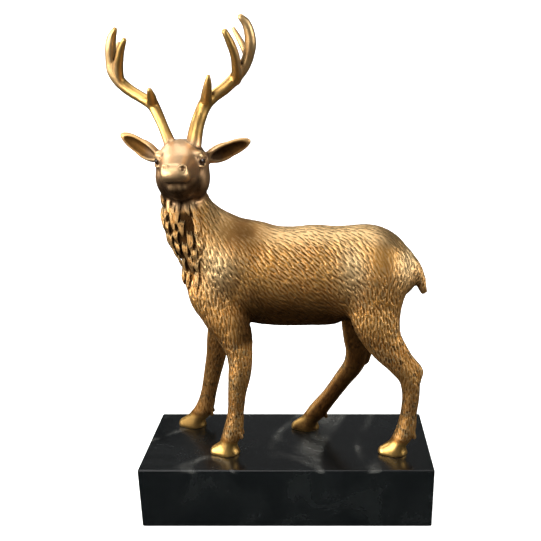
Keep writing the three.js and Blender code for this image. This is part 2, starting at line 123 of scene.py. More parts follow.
class Masses:
    """Masses of clay, ready to be asked how far points lie from their common surface."""

    def __init__(self, masses):
        shapes = [(m, shape) for m, (group, _, _) in enumerate(masses) for shape in group]
        self.kinds = [(blend, is_cut) for _, blend, is_cut in masses]
        self.owner = np.array([m for m, _ in shapes])
        self.middle = np.array([shape[1] for _, shape in shapes])
        self.reach = np.array([shape[2] + masses[m][1] for m, shape in shapes])
        self.is_rod = np.array([shape[0] == "rod" for _, shape in shapes])
        self.rods = np.array([shape[3] if shape[0] == "rod" else np.zeros(11) for _, shape in shapes])
        self.blobs = [shape[3] for _, shape in shapes]

    def near(self, centre, reach):
        """The shapes that come within reach of a place."""
        away = self.middle - centre
        return np.flatnonzero((away * away).sum(1) < (self.reach + reach) ** 2)

    def distance(self, p, chosen):
        """The signed distance at the points p, negative inside, from the chosen shapes."""
        d = np.full(len(p), 1e3)
        starts = np.flatnonzero(np.diff(self.owner[chosen], prepend=-1))
        for group in np.split(chosen, starts[1:]):
            blend, is_cut = self.kinds[self.owner[group[0]]]
            rods = group[self.is_rod[group]]
            own = to_rods(self.rods[rods], p) if len(rods) else np.full(len(p), 1e3)
            for i in group[~self.is_rod[group]]:
                own = np.minimum(own, to_blob(self.middle[i], *self.blobs[i], p))
            other = -own if is_cut else own
            overlap = np.maximum(blend - np.abs(d - other), 0) / blend
            softening = overlap * overlap * blend / 4
            d = np.maximum(d, other) + softening if is_cut else np.minimum(d, other) - softening
        return d


def smooth_curve(points, count):
    """Places along a centripetal Catmull-Rom curve through the points."""
    pts = np.array(points, float)
    pts = np.vstack([2 * pts[0] - pts[1], pts, 2 * pts[-1] - pts[-2]])
    out = []
    for i in range(count + 1):
        at = (len(pts) - 3) * i / count
        k = min(int(at), len(pts) - 4)
        w = at - k
        p0, p1, p2, p3 = pts[k : k + 4]
        t0, t1, t2 = [
            float(((b - a) ** 2).sum()) ** 0.25
            for a, b in ((p0, p1), (p1, p2), (p2, p3))
        ]
        t1 = t1 if t1 > 1e-4 else 1.0
        t0, t2 = (t0 if t0 > 1e-4 else t1), (t2 if t2 > 1e-4 else t1)
        m1 = ((p1 - p0) / t0 - (p2 - p0) / (t0 + t1) + (p2 - p1) / t1) * t1
        m2 = ((p2 - p1) / t1 - (p3 - p1) / (t1 + t2) + (p3 - p2) / t2) * t1
        a = 2 * p1 - 2 * p2 + m1 + m2
        b = -3 * p1 + 3 * p2 - 2 * m1 - m2
        out.append(a * w**3 + b * w**2 + m1 * w + p1)
    return np.array(out)


def limb(blend, points):
    """One mass through points of [x, y, z, radius, flatness]."""
    rows = np.array([list(p) + [1.0] * (5 - len(p)) for p in points])
    count = (len(rows) - 1) * 4
    places = smooth_curve(rows[:, :3], count)
    forms = smooth_curve(np.column_stack([rows[:, 3:5], np.zeros(len(rows))]), count)
    mass(
        blend,
        [
            rod(places[i], places[i + 1], forms[i][0], forms[i + 1][0], forms[i][1], forms[i + 1][1])
            for i in range(count)
        ],
    )


SIDES = (-1, 1)


def torso():
    add(
        8,
        blob([-20, 0, 127], [42, 21, 33.5]),
        blob([20, 0, 125.4], [46, 21, 34.2]),
        blob([52.5, 0, 129.5], [32, 20, 30.5]),
        blob([-47.6, 0, 124.5], [20, 16.5, 23]),
    )
    limb(
        7,
        [
            [-40, 0, 140, 22],
            [-54, 0, 152, 19.7],
            [-61, 0, 165, 17],
            [-63.3, 0, 176, 14],
            [-63.6, 0, 186, 12.8],
        ],
    )
    add(4, rod([-31, 0, 151.5], [-48, 0, 165], 12.6, 7.8))
    add(6, blob([-22, 0, 149], [15, 8, 12.5]))
    add(6, blob([28, 0, 95], [9, 4, 3.4]), blob([-2, 0, 98.4], [26, 10, 8]))
    add(4, blob([74, 0, 125], [14, 11, 14]))
    for side in SIDES:
        add(8, blob([-40, side * 10.8, 128], [10, 8, 29], [-0.8, 0, 0.6], [0.6, 0, 0.8]))
        add(6, blob([60, side * 10, 127], [19, 10.5, 25]))
    limb(3, [[78, 0, 137, 7], [85, 0, 130.5, 5.4], [89.6, 0, 122.5, 4], [92.6, 0, 114.3, 2.4]])


def hoof(toe, y):
    add(2, rod([toe + 13, y, 5], [toe + 4.6, y, 1.6], 6.2, 4.2))
    add(2, blob([toe + 12.6, y, -0.5], [8.6, 6.6, 7.6]))


def leg(points, toe):
    limb(5, points)
    x, y, z = points[-2][:3]
    for side in SIDES:
        add(1, rod([x + 4, y + side * 2.8, z + 1], [x + 6, y + side * 3, z - 4], 2, 1.3))
    hoof(toe, points[-1][1])


NEAR_FORE = [
    [-49, -10.5, 116, 13.5, 1.5], [-42.5, -12, 103, 13.6, 1.4], [-34.5, -14, 89.5, 11.8, 1.25],
    [-31.3, -15.5, 77, 8.9, 1.1], [-30.8, -16.5, 67, 7.9], [-31.5, -17, 60, 7.6], [-33.6, -17.3, 47, 6.2],
    [-35, -17.5, 33, 5.6], [-37.4, -17.5, 18, 6.6], [-40.8, -17.5, 9.5, 5.8],
]
FAR_FORE = [
    [-47, 10.5, 114, 12.5, 1.5], [-45, 12, 100, 11.4, 1.35], [-47, 14.5, 86, 9.4, 1.2],
    [-50.8, 17, 72, 7.8], [-52.3, 18, 61, 7.3], [-56.3, 19, 44, 6.3], [-60, 19.3, 28, 5.7],
    [-64, 19.5, 14.5, 6.6], [-68.8, 19.5, 8.5, 5.8],
]
NEAR_HIND = [
    [60.5, -11, 126, 18.6, 1.8], [59.4, -12, 112, 17.8, 1.8], [60.3, -13.5, 97, 15.6, 1.6],
    [67, -15, 80, 11, 1.3], [75, -16, 69, 8.2, 1.1], [82.6, -16.8, 58.5, 7], [84.6, -17.3, 46, 6],
    [83.8, -17.5, 33, 5.6], [82, -17.5, 18, 6.6], [78, -17.5, 9.5, 5.8],
]
FAR_HIND = [
    [57, 11, 122, 18, 1.8], [52, 12, 106, 14.5, 1.6], [49, 13.5, 90, 11.4, 1.3], [48.6, 14.5, 74, 9.3, 1.1],
    [49.4, 15, 65, 8.4], [47.2, 15, 53, 7.4], [39.4, 15.3, 41, 6.4], [30, 15.5, 27, 6],
    [21, 15.5, 15, 6.6], [16, 15.5, 9, 5.8],
]
LEGS = ((NEAR_FORE, -54.4), (FAR_FORE, -84.2), (NEAR_HIND, 62.9), (FAR_HIND, 0.8))


NEAR_HOCK = [[74, -15.5, 83, 4.5], [82, -16.3, 72, 3.2], [89.6, -16.8, 62.5, 2.9], [88.6, -17, 57, 2.4]]
FAR_HOCK = [[55, 14, 76, 4], [57.4, 14.8, 65, 3], [56, 15.2, 55.5, 2.4]]


def legs():
    for points, toe in LEGS:
        leg(points, toe)
        if points is NEAR_HIND:
            limb(3, NEAR_HOCK)
        if points is FAR_HIND:
            limb(3, FAR_HOCK)


HEAD = np.array([-63, -5.5, 202])
HEAD_TURN = math.radians(3)
FORWARDS = np.array([math.sin(HEAD_TURN), -math.cos(HEAD_TURN), 0])
SIDEWAYS = np.array([math.cos(HEAD_TURN), math.sin(HEAD_TURN), 0])
EYE = (12.3, 9.9, 1.7)
EYE_RADII = (3.1, 3.4, 2.8)


def on_head(sideways, forwards, up):
    return HEAD + SIDEWAYS * sideways + FORWARDS * forwards + np.array([0, 0, up])


def head():
    add(3, blob(on_head(0, 0, -0.6), [15.6, 16, 14.4]))
    add(3, blob(on_head(0, 8, 1.6), [12.5, 11, 10]))
    for s in SIDES:
        add(3, blob(on_head(s * 8.7, 2, -9.6), [8, 12, 12.8]))
    add(3, rod(on_head(0, 1, -13), on_head(0, 17, -12.4), 13, 8.5))
    # Lower lip and chin
    mass(2.5, [rod(on_head(s * 3, 10, -11), on_head(s * 1.8, 24.6, -11.6), 8.5, 4.6) for s in SIDES])
    # The cheeks run out flush with the corners of the mouth
    for s in SIDES:
        add(2.5, blob(on_head(s * 5.2, 16, -8), [6, 9.5, 6.5]))
    # Muzzle: the bridge above, the upper lip broad and square below it, and the pad of the nose
    mass(1.2, [rod(on_head(s * 4, 12, -4.6), on_head(s * 4.4, 28.4, -4.3), 7, 4.2) for s in SIDES])
    for sideways in (-3, 0, 3):
        add(2.8, rod(on_head(sideways, 8, -0.8), on_head(sideways, 28.2, -2.1), 9.5, 5.3))
    add(1.6, blob(on_head(0, 30.6, -2.6), [7.6, 4.0, 5.0]))
    for s in SIDES:
        # Nostril and its rim
        limb(0.8, [
            [*on_head(s * 3.4, 33.6, 2.0), 0.5], [*on_head(s * 5.8, 32.6, 2.2), 0.7],
            [*on_head(s * 7.0, 31.2, 0.4), 0.8], [*on_head(s * 6.6, 32.0, -2.4), 0.5],
        ])
        cut(0.5, blob(on_head(s * 5.0, 34.0, 0.3), [1.3, 2.2, 1.6] if s > 0 else [0.6, 1.0, 0.7]))
        # Brow, eye socket, eyeball, lids, and the gland in front of the eye
        add(1.5, blob(on_head(s * 11.4, 9.5, 5.6), [3.6, 5, 2.4]))
        cut(1, blob(on_head(s * 14.6, 10.6, 1.6), [3.4, 3.9, 3.0]))
        add(0.3, blob(on_head(s * EYE[0], *EYE[1:]), EYE_RADII))
        limb(0.4, [
            [*on_head(s * 9.8, 13.9, 0.7), 0.5], [*on_head(s * 12.8, 13.1, 4.0), 0.75],
            [*on_head(s * 15.2, 9.8, 4.4), 0.75], [*on_head(s * 15.4, 6.0, 1.9), 0.5],
        ])
        limb(0.4, [
            [*on_head(s * 9.8, 13.9, 0.7), 0.5], [*on_head(s * 12.8, 13.1, -1.2), 0.6],
            [*on_head(s * 15.0, 9.8, -1.5), 0.6], [*on_head(s * 15.4, 6.0, 1.9), 0.5],
        ])
        add(0.7, blob(on_head(s * 9.0, 14.6, 3.4), [1.7, 1.6, 1.5]))


EAR_HOLLOWS = []


def ear(root, tip, facing):
    root, tip, facing = (np.array(v, float) for v in (root, tip, facing))
    along = tip - root
    half = np.linalg.norm(along) / 2

    def at(share, height):
        return root + share * along + height * facing

    mass(2.5, [
        blob(at(0.5, 0), [half, 5.2, 3], along, facing),
        blob(at(0.36, 0), [half * 0.72, 6, 3.2], along, facing),
    ])
    hollow = blob(at(0.52, 2.8), [half * 0.82, 4.1, 3.4], along, facing)
    cut(0.8, hollow)
    EAR_HOLLOWS.append(hollow)


def ears():
    ear([-77, -5, 203], [-100.8, -3.5, 218.8], [0.05, -0.96, -0.28])
    ear([-49, -5, 203], [-20.2, -3.5, 214.8], [0.25, -0.93, -0.28])


BEAMS = [
    [
        [-69.2, -7.5, 212, 3.8], [-74.2, -2.5, 222.7, 3.2], [-77.4, 0.5, 229.1, 3.4],
        [-81.1, 2.5, 235.7, 3.7], [-88.2, 4.5, 240.1, 3.5], [-95.4, 5.5, 244.4, 3.6],
        [-100.9, 5.5, 249.4, 3.7], [-104.1, 4.5, 255.3, 3.8], [-104, 2.5, 262.3, 3.6],
        [-103, -0.5, 269.1, 3.2], [-101.2, -2.5, 274.7, 2.7], [-97.9, -5.5, 279.4, 1.4],
    ],
    [
        [-55.2, -7.5, 212, 4.9], [-53.5, -3.5, 222.2, 4.4], [-51.6, 0.5, 229.1, 4.2],
        [-48.2, 2.5, 236.3, 4.2], [-42.9, 4.5, 241, 3.7], [-35.8, 5.5, 246, 3.8],
        [-29.2, 5.5, 252.2, 3.8], [-24, 4.5, 258.1, 3.7], [-20.6, 2.5, 264.6, 3.5],
        [-18.7, -0.5, 271.4, 3.5], [-18.9, -2.5, 277.5, 3.2], [-20.5, -4.5, 283, 2.7],
        [-23.3, -6.5, 286.2, 1.9],
    ],
]
TINES = [
    [[-80.8, 2.5, 236.3, 3.4], [-79.8, -4.5, 241.4, 2.7], [-79.2, -9.5, 245.2, 1.4]],
    [
        [-101.3, 5.5, 249.3, 3], [-100, 1.5, 256.5, 2.9], [-97.9, -2.5, 262.2, 2.6],
        [-95, -6.5, 268.4, 2.2], [-91.4, -10.5, 273.4, 1.4],
    ],
    [[-103.6, 3.5, 263.4, 2.3], [-102.5, 7.5, 268.1, 1.9], [-101.2, 10.5, 272, 1.2]],
    [
        [-48.5, 2.5, 235.7, 3.6], [-46.1, -3.5, 243.1, 3.1], [-44.4, -7.5, 248.5, 2.4],
        [-43.3, -10.5, 253, 1.2],
    ],
    [
        [-29, 5.5, 250.5, 3.2], [-27.9, 0.5, 257.1, 3], [-27.8, -4.5, 264.5, 2.8],
        [-29.6, -8.5, 271.5, 2.6], [-32.2, -11.5, 277.8, 1.9],
    ],
    [
        [-20.6, 3.5, 263.4, 2.6], [-23.1, 5.5, 268.7, 2.2], [-26.3, 6.5, 274.8, 1.8],
        [-29.4, 6.5, 280.4, 1.2],
    ],
]


def antlers():
    for points in BEAMS + TINES:
        limb(1, points)


MANE_TOP = 190
MANE_HEIGHTS = [138, 149, 160, 171, 181, 190]
MANE_MIDDLES = [-48, -54, -58, -62, -64, -64]


def mane_sweep(z):
    """How far round the throat the mane reaches at a height, in half turns, less towards the chest."""
    return 1.5 - 0.75 * np.clip((MANE_TOP - z) / 60, 0, 1) ** 1.15


def placed_tufts():
    """A row for each tuft: the throat's middle in x, its height and angle, its length and its sway."""
    tufts = []
    z, row = 191.0, 0
    while z > 130:
        sweep = mane_sweep(z)
        x = np.interp(z, MANE_HEIGHTS, MANE_MIDDLES)
        count = max(int(math.pi * 15 * sweep / 4.9), 5)
        for i in range(count):
            share = (i + (row % 2) / 2 + RNG.uniform(-0.12, 0.12)) / (count - 0.5) - 0.5
            height = z + RNG.uniform(-2.8, 2.8)
            length = RNG.uniform(9.5, 15.5)
            tufts.append((x, height, math.pi * sweep * share, length, RNG.uniform(-0.1, 0.1)))
        z -= 7.6 + 1.0 * (MANE_TOP - z) / 60
        row += 1
    return np.array(tufts)


def mane():
    """Tufts that hang in rows round the throat and down the chest, each of three locks side by side."""
    body = Masses(clay)
    near_neck = body.near(np.array([-60, 0, 155]), 50)
    middles, tops, angles, lengths, sways = placed_tufts().T[..., None]
    # A tuft runs over the body's surface at five places down its length, its locks a little apart.
    shares = np.array([0, 0.25, 0.5, 0.75, 1.0])
    heights = np.array([-0.4, 1.2, 1.75, 1.65, 0.8])
    radii = np.array([0.5, 0.62, 0.62, 0.55, 0.34])
    spread = np.array([0.95, 1.0, 0.95, 0.75, 0.35])
    for strand in (-1, 0, 1):
        zs = tops - shares * (lengths - (strand + 1) * 1.1)
        turns = angles + sways * np.sin(shares * 3.0) * 1.4 + strand * spread * 0.068
        outward = np.stack([-np.cos(turns), np.sin(turns), np.zeros_like(turns)], -1)
        origin = np.stack([np.broadcast_to(middles, zs.shape), np.zeros_like(zs), zs], -1)
        out = np.zeros(zs.shape)
        for _ in range(36):
            p = (origin + outward * out[..., None]).reshape(-1, 3)
            out -= 0.8 * body.distance(p, near_neck).reshape(out.shape)
        rise = heights * (1.15 if strand == 0 else 1.0)
        for i in range(len(out)):
            if out[i].min() < 2:
                continue
            places = origin[i] + outward[i] * (out[i] + rise)[:, None]
            thick = radii * RNG.uniform(0.85, 1.15)
            mass(0.25, [rod(places[k], places[k + 1], thick[k], thick[k + 1]) for k in range(4)])


torso()
legs()
BODY = list(clay)
mane()
head()
ears()
antlers()


# The surface of the clay

CORNERS = np.array(list(itertools.product((0, 1), repeat=3)))
AROUND = np.array(list(itertools.product((-1, 0, 1), repeat=3)))


def sampled_field(cell):
    """The field on a grid, block by block, each block meeting only the masses near it."""
    body = Masses(clay)
    solid = ~np.array([kind[1] for kind in body.kinds])[body.owner]
    low = (body.middle[solid] - body.reach[solid, None]).min(0) - 2 * cell
    high = (body.middle[solid] + body.reach[solid, None]).max(0) + 2 * cell
    low[2] = -HOOF_ROOT - 2 * cell
    low = np.floor(low / cell) * cell
    block = 12
    counts = np.ceil((high - low) / cell / block).astype(int)
    values = np.full(counts * block, FAR, np.float32)
    steps = np.arange(block) * cell
    local = np.stack(np.meshgrid(steps, steps, steps, indexing="ij"), -1).reshape(-1, 3)
    half = (block - 1) * cell / 2
    corner_reach = half * math.sqrt(3)
    for index in np.ndindex(*counts):
        corner = low + np.array(index) * block * cell
        centre = corner + half
        chosen = body.near(centre, corner_reach + cell)
        if not solid[chosen].any():
            continue
        middle = body.distance(centre[None], chosen)[0]
        here = tuple(slice(i * block, (i + 1) * block) for i in index)
        if abs(middle) > 2 * corner_reach:
            values[here] = min(middle, FAR)
            continue
        values[here] = body.distance(corner + local, chosen).reshape(block, block, block)
    heights = low[2] + np.arange(values.shape[2]) * cell
    return low, np.maximum(values, -heights[None, None, :].astype(np.float32))


def without_touching(values):
    """Fills the grid points where the surface would touch itself across a cell's face."""
    for _ in range(6):
        inside = values < 0
        changed = 0
        for axis in range(3):
            u, v = [(1, 2), (0, 2), (0, 1)][axis]
            n = inside.shape

            def part(du, dv):
                cutout = [slice(None)] * 3
                cutout[u] = slice(du, n[u] - 1 + du)
                cutout[v] = slice(dv, n[v] - 1 + dv)
                return tuple(cutout)

            a, b, c, d = (inside[part(0, 0)], inside[part(1, 0)], inside[part(1, 1)], inside[part(0, 1)])
            bad = (a == c) & (b == d) & (a != b)
            where = np.argwhere(bad)
            for spot in where:
                at = np.array([spot] * 4)
                at[[1, 2], u] += 1
                at[[2, 3], v] += 1
                outside = [tuple(q) for q in at if values[tuple(q)] >= 0]
                if outside:
                    values[min(outside, key=lambda q: values[q])] = -0.06
                    changed += 1
        if not changed:
            break
    return values


def surface_of(low, values, cell):
    """One vertex for each cell that the surface passes through, joined into quads."""
    inside = values < 0
    n = np.array(values.shape)
    count = np.zeros(n - 1, np.int8)
    for x, y, z in CORNERS:
        count += inside[x : n[0] - 1 + x, y : n[1] - 1 + y, z : n[2] - 1 + z]
    cells = np.argwhere((count > 0) & (count < 8))
    ids = np.full(n - 1, -1, np.int32)
    ids[tuple(cells.T)] = np.arange(len(cells))
    at = np.stack([values[tuple((cells + c).T)] for c in CORNERS], 1)
    total = np.zeros((len(cells), 3))
    crossings = np.zeros(len(cells))
    for i, j in itertools.combinations(range(8), 2):
        a, b = CORNERS[i], CORNERS[j]
        if (a != b).sum() != 1:
            continue
        crossed = (at[:, i] < 0) != (at[:, j] < 0)
        share = at[:, i] / np.where(crossed, at[:, i] - at[:, j], 1)
        total += np.where(crossed[:, None], a + share[:, None] * (b - a), 0)
        crossings += crossed
    points = low + (cells + total / crossings[:, None]) * cell
    quads = []
    for axis in range(3):
        u, v = (axis + 1) % 3, (axis + 2) % 3
        ahead = [slice(1, -1)] * 3
        behind = [slice(1, -1)] * 3
        ahead[axis] = slice(2, None)
        change = inside[tuple(ahead)] != inside[tuple(behind)]
        keys = np.argwhere(change) + 1
        keys = keys[(keys < n - 1).all(1)]
        ring = []
        for du, dv in ((0, 0), (-1, 0), (-1, -1), (0, -1)):
            k = keys.copy()
            k[:, u] += du
            k[:, v] += dv
            ring.append(ids[tuple(k.T)])
        ring = np.stack(ring, 1)
        flip = ~inside[tuple(keys.T)]
        ring[flip] = ring[flip][:, ::-1]
        quads.append(ring)
    return points, np.vstack(quads)


def largest_part(points, quads):
    """The surface without specks that come loose of it: the most quads that are joined by their edges."""
    edges = np.sort(np.vstack([quads[:, [k, (k + 1) % 4]] for k in range(4)]), 1).astype(np.int64)
    edge = np.unique(edges @ [len(points), 1], return_inverse=True)[1].reshape(4, -1).T
    part = np.arange(len(quads))
    while True:
        least = np.full(edge.max() + 1, len(quads))
        for k in range(4):
            np.minimum.at(least, edge[:, k], part)
        joined = least[edge].min(1)
        joined = joined[joined]
        if (joined == part).all():
            break
        part = joined
    quads = quads[part == np.bincount(part).argmax()]
    used, places = np.unique(quads, return_inverse=True)
    return points[used], places.reshape(quads.shape)


def vertex_normals(points, quads):
    across = np.cross(points[quads[:, 2]] - points[quads[:, 0]], points[quads[:, 3]] - points[quads[:, 1]])
    normals = np.zeros_like(points)
    for i in range(3):
        for k in range(4):
            normals[:, i] += np.bincount(quads[:, k], across[:, i], len(points))
    return unit(normals)


def read_grid(p, low, values, cell):
    """The grid's value at each point, between the grid's own points."""
    q = (p - low) / cell
    k = np.floor(q).astype(int)
    outside = ((k < 0) | (k > np.array(values.shape) - 2)).any(1)
    k = np.clip(k, 0, np.array(values.shape) - 2)
    w = np.clip(q - k, 0, 1)
    total = np.zeros(len(p))
    for corner in CORNERS:
        share = np.where(corner, w, 1 - w).prod(1)
        total += share * values[tuple((k + corner).T)]
    return np.where(outside, FAR, total)


def neighbours_of(quads, count):
    edges = np.vstack([quads[:, [k, (k + 1) % 4]] for k in range(4)])
    edges = np.unique(np.sort(edges, 1), axis=0)
    ends = np.concatenate([edges[:, 0], edges[:, 1]])
    others = np.concatenate([edges[:, 1], edges[:, 0]])
    return ends, others, np.bincount(ends, minlength=count)


def middle_of_neighbours(points, links):
    ends, others, degree = links
    return np.stack([np.bincount(ends, points[others, i], len(points)) / degree for i in range(3)], 1)


def evened(points, quads, low, values, cell, rounds=3):
    """Moves each vertex towards the middle of its neighbours and back to the surface."""
    links = neighbours_of(quads, len(points))
    for _ in range(rounds):
        points = points + 0.6 * (middle_of_neighbours(points, links) - points)
        points[:, 2] = np.maximum(points[:, 2], 0)
        normals = vertex_normals(points, quads)
        step = np.clip(read_grid(points, low, values, cell), -0.3 * cell, 0.3 * cell)
        points = points - normals * step[:, None]
    return points


# Fur. Strokes are cut into the coat as a chaser's tool cuts them, each along the lie of the hair.

# Places (x, z) in the side view, each with the hair's angle in degrees: 0 runs to the tail, 90 down.
LIE_OF_HAIR = np.array([
    (-62, 176, 84), (-50, 162, 74), (-38, 152, 66), (-24, 158, 48), (0, 160, 30), (30, 160, 34),
    (58, 158, 48), (76, 146, 62), (-50, 138, 78), (-52, 120, 86), (-34, 132, 66), (-24, 118, 66),
    (-34, 108, 80), (-8, 132, 46), (10, 142, 42), (18, 124, 44), (0, 108, 38), (24, 102, 34),
    (40, 132, 46), (46, 146, 48), (58, 132, 58), (62, 116, 80), (72, 128, 98), (80, 126, 112),
    (60, 98, 84), (72, 84, 74), (-44, 90, 92), (-30, 88, 92), (-50, 60, 96), (-32, 60, 92),
    (84, 50, 90), (50, 88, 92), (48, 60, 92), (30, 30, 100),
], float)


def lie_of_hair(p, normals):
    """The direction of the hair at points of the surface."""
    d2 = (p[:, 0, None] - LIE_OF_HAIR[:, 0]) ** 2 + (p[:, 2, None] - LIE_OF_HAIR[:, 1]) ** 2
    weight = 1 / (d2 + 16) ** 1.6
    angle = np.radians(LIE_OF_HAIR[:, 2])
    dx, dz = weight @ np.cos(angle), -(weight @ np.sin(angle))
    lie = unit(np.stack([dx, np.zeros_like(dx), dz], 1))
    lie -= (lie * normals).sum(1)[:, None] * normals
    flat = np.linalg.norm(lie, axis=1) < 0.25
    down = np.array([0.4, 0, -1.0])
    down = down - (normals @ down)[:, None] * normals
    return unit(np.where(flat[:, None], down, lie))


def ramp(x, low, high):
    t = np.clip((np.asarray(x, float) - low) / (high - low), 0, 1)
    return t * t * (3 - 2 * t)


def on_mane(p):
    """How far a point is in the mane, from 0 to 1."""
    x0 = np.interp(p[:, 2], MANE_HEIGHTS, MANE_MIDDLES)
    angle = np.abs(np.arctan2(p[:, 1], -(p[:, 0] - x0)))
    around = ramp(math.pi * mane_sweep(p[:, 2]) / 2 - angle, -0.12, 0.12)
    return around * ramp(p[:, 2], 124, 134) * ramp(-p[:, 2], -196, -190)


def from_face(p):
    """How far a point is from the middle of the face, which is longer and deeper than it is wide."""
    return np.linalg.norm((p - HEAD - FORWARDS * 8) / [1, 1.5, 1.2], axis=1)


def on_coat(p):
    """How far a point is in the engraved coat, from 0 to 1: not on the head, the antlers or the hooves."""
    from_skull = np.linalg.norm((p - HEAD) / [1, 1, 1.1], axis=1)
    below_head = ramp(np.minimum(from_skull, from_face(p)), 23, 28) * ramp(-p[:, 2], -196, -184)
    return below_head * ramp(p[:, 2], 11, 18)


# Places (x, z, reach along x, reach along z, how much) in the side view: where the coat was left smooth;
# where its wax was left thicker and where shade and shadow are painted dark; and where it is worn pale and
# where highlights are painted pale.
CALM = ((-27, 160, 18, 12, 1.0), (65, 143, 10, 15, 0.9))
# Painted shade and shadow with some wax: among them the head's shadow on the mane's front and the shaded
# neck, legs and rear of the foreleg
WAX_AND_SHADE_PATCHES = (
    (-27, 158, 16, 14, 0.82), (-19, 124, 11, 13, 0.55), (12, 118, 24, 10, 0.25), (65, 140, 10, 13, 0.42),
    (60, 108, 15, 12, 0.35), (-27, 92, 9, 18, 0.55), (-44, 98, 11, 13, 0.6), (57, 90, 14, 17, 0.6),
    (80, 60, 14, 32, 0.68), (-62, 163, 9, 18, 0.75), (-55, 60, 10, 30, 0.38), (-28, 50, 8, 34, 0.55),
    (78, 36, 14, 20, 0.6), (-40, 34, 12, 22, 0.42), (66, 112, 18, 18, 0.35),
)
# Painted highlights with some wear: the shoulder, a band over the flank, the buttock and the mane's front
# edge
PALE_WEAR_AND_HIGHLIGHTS = ((-42, 138, 12, 17, 1.0), (44, 138, 9, 20, 0.9), (81, 139, 9, 15, 1.0), (-66, 180, 5, 16, 0.6))


def patches(places, p):
    """How much each point lies in the nearest of the places."""
    total = np.zeros(len(p))
    for x, z, across, up, much in places:
        away = ((p[:, 0] - x) / across) ** 2 + ((p[:, 2] - z) / up) ** 2
        total = np.maximum(total, much * np.exp(-away))
    return total


class Nearby:
    """Points kept in cubes, so that those near a place are found at once."""

    def __init__(self, p, side):
        self.side = side
        keys = self.key(np.floor(p / side).astype(np.int64))
        self.order = np.argsort(keys, kind="stable")
        found, first = np.unique(keys[self.order], return_index=True)
        last = np.append(first[1:], len(keys))
        self.spans = {k: (a, b) for k, a, b in zip(found.tolist(), first.tolist(), last.tolist())}
        self.around = self.key(AROUND) - self.key(np.zeros((1, 3), np.int64))[0]

    @staticmethod
    def key(c):
        return ((c[..., 0] + 512) * 1024 + c[..., 1] + 512) * 1024 + c[..., 2] + 512

    def at(self, place):
        key = int(self.key(np.floor(place / self.side).astype(np.int64)))
        spans = [self.spans[k] for k in (key + self.around).tolist() if k in self.spans]
        return np.concatenate([self.order[a:b] for a, b in spans]) if spans else np.zeros(0, int)


def strokes(p, normals):
    """Places for the strokes, spaced wider along the hair than across it, with each one's size."""
    coat = on_coat(p) * (1 - on_mane(p))
    leg = ramp(-p[:, 2], -86, -62)
    back = ramp(normals[:, 2], 0.55, 0.95) * ramp(p[:, 2], 120, 135)
    lie = lie_of_hair(p, normals)
    pick = RNG.permutation(np.flatnonzero(coat > 0.3))[:STROKES_TRIED]
    kept, cells = [], {}
    side = 5.0
    for i in pick.tolist():
        cell = np.floor(p[i] / side).astype(int)
        close = [j for place in (cell + AROUND).tolist() for j in cells.get(tuple(place), ())]
        across, along = (1.5, 3.4) if leg[i] > 0.5 else (1.95, 4.9)
        if close:
            d = p[close] - p[i]
            s = d @ lie[i]
            rest = (d * d).sum(1) - s * s
            if ((s / along) ** 2 + rest / across**2 < 1).any():
                continue
        kept.append(i)
        cells.setdefault(tuple(cell.tolist()), []).append(i)
    kept = np.array(kept)
    n = len(kept)
    grow = RNG.uniform(0.75, 1.25, n)
    length = (6.4 - 2.2 * leg[kept]) * grow
    width = (0.8 - 0.16 * leg[kept]) * RNG.uniform(0.85, 1.2, n)
    depth = (0.62 - 0.32 * leg[kept] - 0.18 * back[kept]) * RNG.uniform(0.7, 1.2, n)
    depth *= ramp(coat[kept], 0.2, 0.8) * (1 - 0.85 * patches(CALM, p[kept]))
    turn = RNG.normal(0, 0.13, n)
    side_ways = np.cross(normals[kept], lie[kept])
    along = lie[kept] * np.cos(turn)[:, None] + side_ways * np.sin(turn)[:, None]
    return kept, along, length, width, depth


def chased(p, normals):
    """The points with the strokes cut in, and how deep in a stroke each one lies, from 0 to 1."""
    kept, along, length, width, depth = strokes(p, normals)
    nearby = Nearby(p, 4.0)
    lower = np.zeros(len(p))
    raised = np.zeros(len(p))
    groove = np.zeros(len(p))
    bend = RNG.normal(0, 0.02, len(kept))
    for n, i in enumerate(kept.tolist()):
        ids = nearby.at(p[i])
        q = p[ids] - p[i]
        s = q @ along[n] / (length[n] / 2)
        u = (q @ np.cross(normals[i], along[n]) + bend[n] * (s * length[n] / 2) ** 2) / width[n]
        facing = normals[ids] @ normals[i]
        near_it = (np.abs(s) < 1) & (np.abs(u) < 2) & (facing > 0.3) & (np.abs(q @ normals[i]) < 2.5)
        ids, s, u = ids[near_it], s[near_it], u[near_it]
        run = (1 - s * s) * (0.8 + 0.35 * s)
        thin = 0.55 + 0.45 * run
        cutting = np.clip(1 - (u / thin) ** 2, 0, 1) ** 1.5 * np.clip(run * 1.3, 0, 1)
        rim = np.exp(-(((np.abs(u) - 1.25) / 0.4) ** 2)) * np.clip(run, 0, 1)
        lower[ids] = np.maximum(lower[ids], cutting * depth[n])
        raised[ids] = np.maximum(raised[ids], rim * depth[n] * 0.3)
        groove[ids] = np.maximum(groove[ids], cutting * min(depth[n] / 0.35, 1))
    return p + normals * (raised * (1 - groove) - lower)[:, None], groove


def smoothed(values_at, links, rounds):
    """The values after they have been shared with their neighbours a number of times."""
    ends, others, degree = links
    for _ in range(rounds):
        values_at = 0.5 * values_at + 0.5 * np.bincount(ends, values_at[others], len(values_at)) / degree
    return values_at


def evenly(vectors, links, rounds):
    return np.stack([smoothed(vectors[:, i], links, rounds) for i in range(3)], 1)


def hidden(p, normals, low, values, cell):
    """How much the body itself shuts out the light round each point, from 0 to 1."""
    total = np.zeros(len(p))
    for reach, weight in ((1.5, 0.2), (3, 0.25), (6, 0.3), (10, 0.25)):
        clear = read_grid(p + normals * reach, low, values, cell)
        total += weight * np.clip(1 - clear / reach, 0, 1)
    return total


